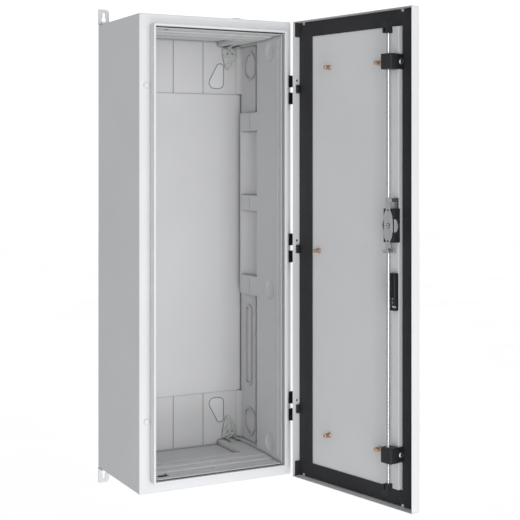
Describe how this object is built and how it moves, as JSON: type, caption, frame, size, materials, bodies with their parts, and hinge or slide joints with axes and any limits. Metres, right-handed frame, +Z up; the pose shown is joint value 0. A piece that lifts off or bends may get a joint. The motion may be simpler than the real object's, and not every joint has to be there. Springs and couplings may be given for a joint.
{
  "type": "residential load center",
  "caption": "Narrow wall-mounted steel distribution cabinet, empty, with an insulating liner and a deep hinged door held by a rod lock with a swing handle.",
  "frame": {"origin": "middle of the steel back, on the wall plane", "axes": "+Z up, +Y into the wall, and the open front faces -Y; the door's hinges are on the +X side"},
  "size_m": [0.3748, 0.528, 0.8946],
  "materials": {
    "white_paint": "fine-textured white powder coat on steel sheet",
    "grey_plastic": "satin light grey moulding",
    "black_plastic": "satin black",
    "black_foam": "matt black foam",
    "zinc_steel": "bright zinc plate",
    "copper_plate": "thin copper plate on steel"
  },
  "bodies": {
    "cabinet": {"body_shell": "white_paint", "gland_plate_bottom": "white_paint", "gland_plate_top": "white_paint", "hinge_arm_bottom": "black_plastic", "hinge_arm_middle": "black_plastic", "hinge_arm_top": "black_plastic", "hinge_pin_bottom": "zinc_steel", "hinge_pin_middle": "zinc_steel", "hinge_pin_top": "zinc_steel", "hinge_plug_bottom": "white_paint", "hinge_plug_top": "white_paint", "hinge_screw_bottom": "zinc_steel", "hinge_screw_middle": "zinc_steel", "hinge_screw_top": "zinc_steel", "liner_back": "grey_plastic", "liner_floor": "grey_plastic", "liner_left_wall": "grey_plastic", "liner_right_wall": "grey_plastic", "liner_roof": "grey_plastic", "mounting_plate": "grey_plastic", "rack_bracket_bottom_left": "zinc_steel", "rack_bracket_bottom_right": "zinc_steel", "rack_bracket_top_left": "zinc_steel", "rack_bracket_top_right": "zinc_steel", "wall_lug_bottom_left": "white_paint", "wall_lug_bottom_right": "white_paint", "wall_lug_top_left": "white_paint", "wall_lug_top_right": "white_paint"},
    "door": {"cylinder_clip": "zinc_steel", "cylinder_housing": "black_plastic", "door_panel": "white_paint", "door_seal": "black_foam", "door_stiffener": "white_paint", "gear_case": "black_plastic", "gear_cover": "zinc_steel", "guide_screw_bottom": "zinc_steel", "guide_screw_top": "zinc_steel", "handle_dish": "black_plastic", "hinge_knuckle_bottom": "black_plastic", "hinge_knuckle_middle": "black_plastic", "hinge_knuckle_top": "black_plastic", "rod_guide_bottom": "black_plastic", "rod_guide_top": "black_plastic", "weld_stud_bottom_hinge": "copper_plate", "weld_stud_bottom_lock": "copper_plate", "weld_stud_middle": "copper_plate", "weld_stud_top_hinge": "copper_plate", "weld_stud_top_lock": "copper_plate"},
    "handle": {"handle_hub": "black_plastic", "lever_pin": "zinc_steel", "spindle": "zinc_steel"},
    "lever": {"handle_lever": "black_plastic"},
    "bolt": {"latch_bolt": "zinc_steel"},
    "upper_rod": {"lock_rod_upper": "zinc_steel", "rod_hook_upper": "black_plastic"},
    "lower_rod": {"lock_rod_lower": "zinc_steel", "rod_hook_lower": "black_plastic"},
    "key_cylinder": {"lock_cylinder": "zinc_steel"}
  },
  "joints": [
    {"name": "door_swing", "type": "hinge", "parent": "cabinet", "child": "door", "pos_m": [0.1539, -0.2283, 0], "axis": [0, 0, 1], "range_deg": [-101.7, 18.3]},
    {"name": "handle_turn", "type": "hinge", "parent": "door", "child": "handle", "pos_m": [0.20747, -0.47956, 0.054], "axis": [-0.9792, -0.2028, 0], "range_deg": [0, 90]},
    {"name": "lever_lift", "type": "hinge", "parent": "handle", "child": "lever", "pos_m": [0.21843, -0.47729, 0.054], "axis": [0, 0, -1], "range_deg": [0, 30]},
    {"name": "bolt_slide", "type": "slide", "parent": "door", "child": "bolt", "axis": [0.2028, -0.9792, 0], "range_m": [0, 0.012]},
    {"name": "upper_rod_slide", "type": "slide", "parent": "door", "child": "upper_rod", "axis": [0, 0, 1], "range_m": [0, 0.012]},
    {"name": "lower_rod_slide", "type": "slide", "parent": "door", "child": "lower_rod", "axis": [0, 0, -1], "range_m": [0, 0.012]},
    {"name": "key_turn", "type": "hinge", "parent": "door", "child": "key_cylinder", "pos_m": [0.20747, -0.47956, -0.073], "axis": [-0.9792, -0.2028, 0], "range_deg": [0, 90]}
  ],
  "couplings": [
    {"joint": "bolt_slide", "follows": "handle_turn", "m_per_rad": 0.00763},
    {"joint": "upper_rod_slide", "follows": "handle_turn", "m_per_rad": 0.00763},
    {"joint": "lower_rod_slide", "follows": "handle_turn", "m_per_rad": 0.00763}
  ]
}
